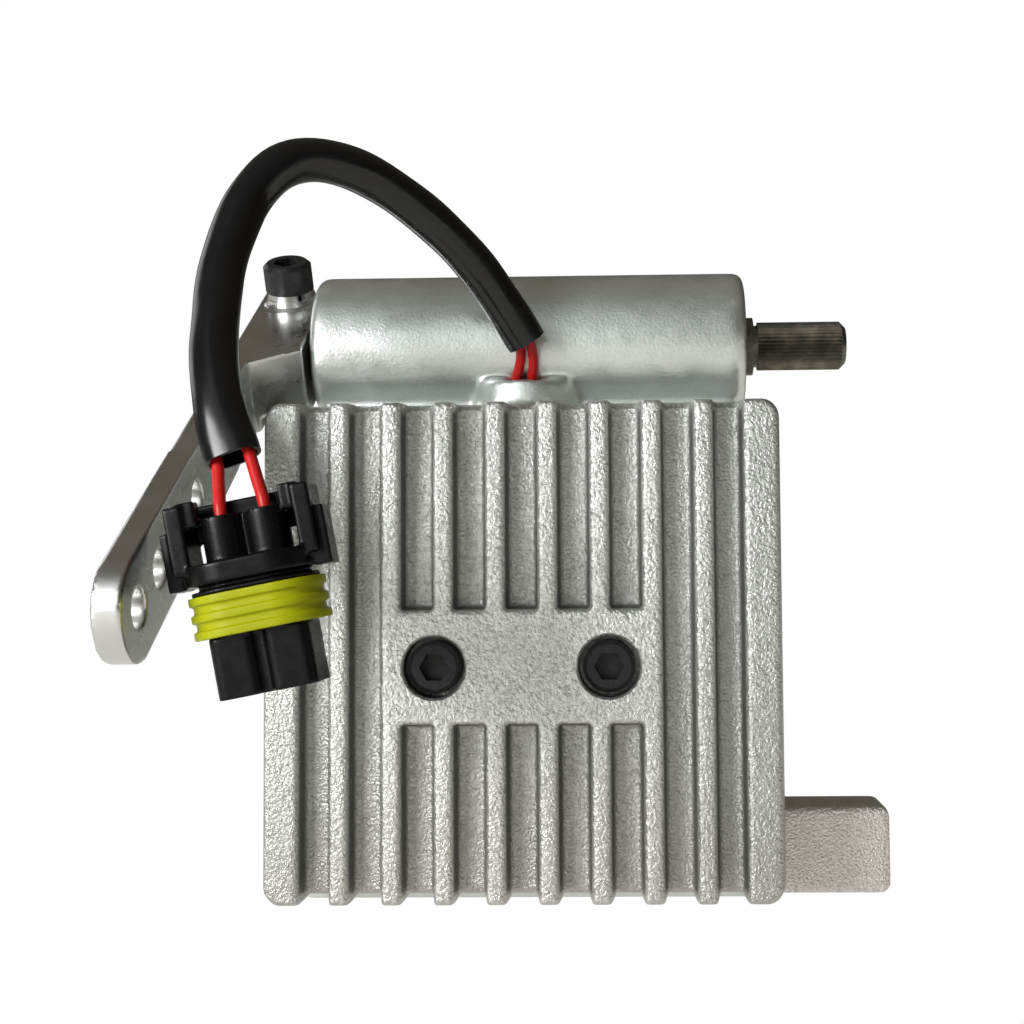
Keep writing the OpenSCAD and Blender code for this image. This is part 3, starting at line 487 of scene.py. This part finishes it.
def lead_route(side):
    """Path of one lead: from the boss, beside the sleeve's middle line, and into its connector tower."""
    points = [(-side * 1.6, -39.9, 52.8), (-side * 1.6, -40.1, 53.5), (0.8 - side * 1.2, -43.2, 57.6)]
    for i in range(2, len(sleeve_line) - 12, 6):
        turn = oval_angle * min(1.0, max(0.0, i / len(sleeve_line) - TWIST_START) / TWIST_SPAN)
        aside = math.cos(turn) * sleeve_side[i] + math.sin(turn) * sleeve_up[i]
        points.append(sleeve_line[i] + LEAD_ASIDE * side * aside)
    leaving = sleeve_line[-1] + side * LEAD_SPREAD * across / np.linalg.norm(across)
    tower = at_connector(side * TOWER_X, 0, TOWER_TOP + 1)
    points += [leaving - 4 * sleeve_way[-1], leaving, 0.6 * leaving + 0.4 * tower,
               0.25 * leaving + 0.75 * tower, tower, at_connector(side * TOWER_X, 0, TOWER_TOP - 4)]
    return spline(points, 130)


sleeve = tube_mesh("sleeve", sleeve_line, SLEEVE_R, SLEEVE_BORE_R, 36, sleeve_swell)
dress(sleeve, pvc, "body", "sleeve_pvc", "harness_sleeve")

left_line, right_line = lead_route(-1), lead_route(1)
lead_left = curve_cord("lead_left", left_line, LEAD_R)
dress(lead_left, red, "body", "wire_red", "lead_wires_boss", "lead_wires_plug")
lead_right = curve_cord("lead_right", right_line, LEAD_R)
dress(lead_right, red, "body", "wire_red")


# Cast cover, as a relief over a fine grid that follows its fins and its pad

wall = math.hypot(FIN_LEAN, FIN_H)
lean = math.atan2(FIN_LEAN, FIN_H)
flat_edge = (CREST_R * wall + (FIN_H - CREST_R) * FIN_LEAN) / FIN_H
foot_edge = flat_edge + CREST_R * (wall - FIN_LEAN) / FIN_H
crest_arc = [(CREST_R * math.cos(a), FIN_H - CREST_R + CREST_R * math.sin(a))
             for a in np.linspace(math.pi / 2, lean, 6)]
foot_arc = [(foot_edge + CREST_R * math.cos(a), CREST_R + CREST_R * math.sin(a))
            for a in np.linspace(math.pi + lean, 1.5 * math.pi, 6)]
wall_run, wall_rise = np.array(crest_arc + foot_arc).T
rim_run, rim_rise = np.array(crest_arc + [(flat_edge, 0.0)]).T

GRID_STEP = 1.1
FIN_LINES = (1.2, 1.1, 0.8, 0.4, 0.15, 0.02, -0.03)
PAD_LINES = np.arange(2.2, 4.4, 0.4)
END_LINES = (0, 0.05, 0.2, 0.4, 0.7, 1.0, 1.2, 1.25, 1.4, 1.6, 1.9, 2.4, 3, 3.6)


def fin_half(i):
    return EDGE_HALF if i in EDGE_FINS else FIN_HALF


def fin_centre(i):
    """Middle of a fin. The two at the edges are wider and end with the cover."""
    from_middle = i - (FIN_COUNT - 1) / 2
    return math.copysign(COVER_X - EDGE_HALF, from_middle) if i in EDGE_FINS else from_middle * FIN_PITCH


def rounded_least(a, b, r):
    """Smaller of two distances, with a round corner of radius r where both are small."""
    corner = r - np.hypot(r - np.minimum(a, r), r - np.minimum(b, r))
    return np.where((a < r) & (b < r), corner, np.minimum(a, b))


def fin_end(x, z):
    """How far the cover reaches at x. Its fins stand past the plate at the lower end only."""
    reach = np.full_like(x, PLATE_Z)
    over = COVER_Z - PLATE_Z
    for i in range(FIN_COUNT):
        centre = fin_centre(i)
        u = np.abs(x - centre) - (fin_half(i) - over)
        if i in EDGE_FINS:
            u = np.where(np.abs(x) > abs(centre), -1, u)
        rise = np.where(u <= 0, over, np.sqrt(np.clip(over ** 2 - u ** 2, 0, None)))
        reach = np.where(u < over, np.maximum(reach, PLATE_Z + rise), reach)
    return np.where(z > 0, COVER_Z, reach)


def end_height(inside):
    """Height of a fin at a distance inside its round end."""
    near = np.clip(CREST_R - inside, 0, CREST_R)
    return FIN_H - (CREST_R - np.sqrt(CREST_R ** 2 - near ** 2))


def side_height(inside):
    """Height of an edge fin at a distance inside the cover's drafted side."""
    return np.interp(flat_edge - inside, rim_run, rim_rise)


def relief(x, z):
    """Height of the cover above the floor between its fins."""
    height = np.full_like(x, FIN_H)
    for channel in range(FIN_COUNT - 1):
        low = fin_centre(channel) + fin_half(channel) - flat_edge
        high = fin_centre(channel + 1) - fin_half(channel + 1) + flat_edge
        s = np.minimum(x - low, high - x)
        if channel in PAD_CHANNELS:
            s = rounded_least(s, np.maximum(z - PAD_HIGH, PAD_LOW - z), PAD_END_R)
        height = np.where(s > 0, np.interp(s, wall_run, wall_rise), height)
    height = np.minimum(height, side_height(COVER_X - np.abs(x)))
    lip = np.clip((z - COVER_Z + LIP) / LIP, 0, 1) * (1 - height / FIN_H)
    return height - (FIN_H - end_height(fin_end(x, z) - np.abs(z))) - LIP_DROP * lip


def round_corners(x, y, z):
    """Draws the grid's corners in, and turns the profile of the sides into that of the ends there."""
    qx = np.clip((np.abs(x) - (COVER_X - COVER_R)) / COVER_R, 1e-9, 1)
    qz = np.clip((np.abs(z) - (COVER_Z - COVER_R)) / COVER_R, 1e-9, 1)
    corner = (qx > 1e-8) & (qz > 1e-8)
    inside = COVER_R * (1 - np.maximum(qx, qz))
    share = qx / (qx + qz)
    share = share * share * (3 - 2 * share)
    rise = end_height(inside) + share * (side_height(inside) - end_height(inside))
    pull = (np.maximum(qx, qz) / np.hypot(qx, qz) - 1) * COVER_R
    return (np.where(corner, x + np.sign(x) * qx * pull, x), np.where(corner, FLOOR_Y - rise, y),
            np.where(corner, z + np.sign(z) * qz * pull, z))


def casting_roll(x, z):
    """Slow and quicker waves of a cast face."""
    return noise.noise((x * 0.16, z * 0.16, 3.1)) + 0.6 * noise.noise((x * 0.5, z * 0.5, 9.0))


def grid_lines(places, end):
    """Sorted lines from -end to end: the given places, and a filling no wider than the grid's step."""
    kept = sorted({round(p, 4) for p in places if -end <= p <= end} | {-end, end})
    out = [kept[0]]
    for p in kept[1:]:
        if p - out[-1] < 0.02:
            continue
        parts = max(1, math.ceil((p - out[-1]) / GRID_STEP))
        out += [out[-1] + (p - out[-1]) * k / parts for k in range(1, parts + 1)]
    return np.array([out[0], *out, out[-1]])


def cover_grid():
    """Points of the cover's face on a grid, with its rim drawn back to the box."""
    xs, zs = [], []
    for i in range(FIN_COUNT):
        start = fin_half(i) - flat_edge
        for side in (-1, 1):
            xs += [fin_centre(i) + side * (start + u) for u in wall_run]
            xs += [fin_centre(i) + side * (start + flat_edge - k) for k in FIN_LINES]
    for place, way in ((PAD_HIGH, 1), (PAD_LOW, -1)):
        zs += [place + way * u for u in (*wall_run, *PAD_LINES)]
    for side in (-1, 1):
        zs += [side * (COVER_Z - k) for k in END_LINES]
    x, z = np.meshgrid(grid_lines(xs, COVER_X), grid_lines(zs, COVER_Z), indexing="ij")
    reach = fin_end(x, z)
    z = np.clip(z, -reach, reach)
    x, y, z = round_corners(x, FLOOR_Y - relief(x, z), z)
    roll = np.array([casting_roll(a, b) for a, b in zip(x.ravel(), z.ravel())]).reshape(x.shape)
    y = np.maximum(y + 0.05 * roll, FLOOR_Y - FIN_H)
    for rim in (np.s_[0], np.s_[-1], np.s_[:, 0], np.s_[:, -1]):
        y[rim] = BACK_Y
    return x, y, z


def build_cover():
    x, y, z = cover_grid()
    nx, nz = x.shape
    verts = list(zip(x.ravel(), y.ravel(), z.ravel()))
    faces = [(i * nz + j, (i + 1) * nz + j, (i + 1) * nz + j + 1, i * nz + j + 1)
             for i in range(nx - 1) for j in range(nz - 1)]
    thing = mesh_object("cover", verts, faces)
    bm = bmesh.new()
    bm.from_mesh(thing.data)
    bmesh.ops.remove_doubles(bm, verts=bm.verts, dist=0.004 * MM)
    bmesh.ops.dissolve_degenerate(bm, edges=bm.edges, dist=0.004 * MM)
    bmesh.ops.holes_fill(bm, edges=[e for e in bm.edges if len(e.link_faces) == 1], sides=0)
    bmesh.ops.recalc_face_normals(bm, faces=bm.faces)
    bm.to_mesh(thing.data)
    bm.free()
    for side in (-1, 1):
        cut(thing, lathe("bore", BORE_PROFILE, (side * SCREW_X, 0, SCREW_Z), 64))
    shade(thing, 38)
    return thing


dress(build_cover(), cover_metal, "body", "cast_cover", "finned_cover")


# Castings, the lever and the connector, with worn or moulded round edges

def rounded_copy(name, node, voxel, passes, turn=Matrix.Identity(4)):
    """Copy of a CAD node on an even mesh that turn lines its flats up with, its edges rubbed round."""
    mesh = nodes[node].data.copy()
    mesh.transform(turn)
    thing = bpy.data.objects.new(name, mesh)
    scene.collection.objects.link(thing)
    weld = thing.modifiers.new("weld", "WELD")
    weld.merge_threshold = 0.002 * MM
    even = thing.modifiers.new("even", "REMESH")
    even.mode = "VOXEL"
    even.voxel_size = voxel * MM
    even.adaptivity = 0.0
    rub = thing.modifiers.new("rub", "SMOOTH")
    rub.factor = 0.5
    rub.iterations = passes
    settle(thing)
    thing.data.transform(turn.inverted())
    for face in thing.data.polygons:
        face.use_smooth = True
    return thing


lever_turn = Matrix.Rotation(LEVER_TILT, 4, "X")
plug_turn = Matrix.Rotation(-CONNECTOR_TILT, 4, "Y")
dress(rounded_copy("body_casting", "housing", 0.8, 4), body_metal, "body", "cast_body", "housing")
dress(rounded_copy("clamp_lever", "lever", 0.4, 3, lever_turn), zinc, "rotor", "zinc", "lever")
plug_shell = rounded_copy("plug_shell", "connector_body", 0.28, 2, plug_turn)
dress(plug_shell, shell, "body", "shell_plastic", "connector_body")
plug_seal = rounded_copy("plug_seal", "connector_seal", 0.2, 2, plug_turn)
dress(plug_seal, seal_rubber, "body", "seal_rubber", "connector_seal")


# Lamps, background and floor

WHITE = (1, 1, 1, 1)
FRONT_LEFT = Vector((-0.45, -0.89, 0)).normalized()
DESK = (0.92, 0.89, 0.83, 1)


def area(name, place, target, size, power):
    data = bpy.data.lights.new(name, "AREA")
    data.energy = power
    data.size = size
    lamp = bpy.data.objects.new(name, data)
    scene.collection.objects.link(lamp)
    lamp.location = place
    lamp.rotation_euler = (Vector(target) - Vector(place)).to_track_quat("-Z", "Y").to_euler()


def light_world():
    """White to the camera. The light on the object is strong at the front left and faint elsewhere."""
    world = bpy.data.worlds.new("studio")
    scene.world = world
    world.use_nodes = True
    tree = world.node_tree
    tree.nodes.clear()
    way = add_node(tree, "TexCoord", {}).outputs["Generated"]
    flatter = add_node(tree, "VectorMath", {0: way, 1: (1, 1, 0.4)}, "MULTIPLY").outputs["Vector"]
    level = add_node(tree, "VectorMath", {0: flatter}, "NORMALIZE").outputs["Vector"]
    facing = add_node(tree, "VectorMath", {0: level, 1: FRONT_LEFT}, "DOT_PRODUCT").outputs["Value"]
    front = ramped(tree, facing, 0.78, 1.0, 0.07, 0.89)
    front.interpolation_type = "SMOOTHSTEP"
    height = add_node(tree, "SeparateXYZ", {0: way}).outputs["Z"]
    above = ramped(tree, height, 0.45, 0.95, 0.0, 0.08)
    strength = add_node(tree, "Math", {0: front.outputs["Result"], 1: above.outputs["Result"]}, "ADD")
    warmth = mixed(tree, facing, (1, 0.9, 0.72, 1), (0.96, 1, 0.985, 1))
    lit = add_node(tree, "Background", {"Color": warmth, "Strength": strength.outputs[0]})
    seen = add_node(tree, "Background", {"Color": WHITE})
    rays = add_node(tree, "LightPath", {}).outputs
    direct = add_node(tree, "Math", {0: rays["Is Camera Ray"], 1: rays["Is Transmission Ray"]}, "MAXIMUM")
    mix = add_node(tree, "MixShader", {"Fac": direct.outputs[0], 1: lit.outputs[0], 2: seen.outputs[0]})
    add_node(tree, "OutputWorld", {"Surface": mix.outputs[0]})


def lay_floor():
    """White floor for the camera, which shows in the metal as a pale desk."""
    floor_z = cad_low.z
    corners = [(-4, -4, floor_z), (4, -4, floor_z), (4, 4, floor_z), (-4, 4, floor_z)]
    floor = mesh_object("floor", corners, [(0, 1, 2, 3)], scale=1)
    ground = bpy.data.materials.new("floor_white")
    ground.use_nodes = True
    tree = ground.node_tree
    base = tree.nodes["Principled BSDF"]
    base.inputs["Base Color"].default_value = (0.9, 0.9, 0.9, 1)
    base.inputs["Roughness"].default_value = 0.9
    rays = add_node(tree, "LightPath", {}).outputs
    glow = add_node(tree, "Emission", {"Color": mixed(tree, rays["Is Camera Ray"], DESK, WHITE)})
    mirrored = add_node(tree, "Math", {0: rays["Is Glossy Ray"], 1: 0.7}, "MULTIPLY").outputs[0]
    share = add_node(tree, "Math", {0: rays["Is Camera Ray"], 1: mirrored}, "MAXIMUM").outputs[0]
    mix = add_node(tree, "MixShader", {"Fac": share, 1: base.outputs[0], 2: glow.outputs[0]})
    tree.links.new(mix.outputs[0], tree.nodes["Material Output"].inputs["Surface"])
    floor.data.materials.append(ground)


area("key", (-0.27, -0.36, 0.1), (-0.02, -0.05, 0.01), 0.16, 1.3)
area("fill", (0.7, -0.25, -0.03), (0, -0.03, 0.02), 0.4, 0.15)
area("rear", (-0.75, 0.4, 0.4), (0, 0, 0.02), 0.5, 1.0)
light_world()
lay_floor()
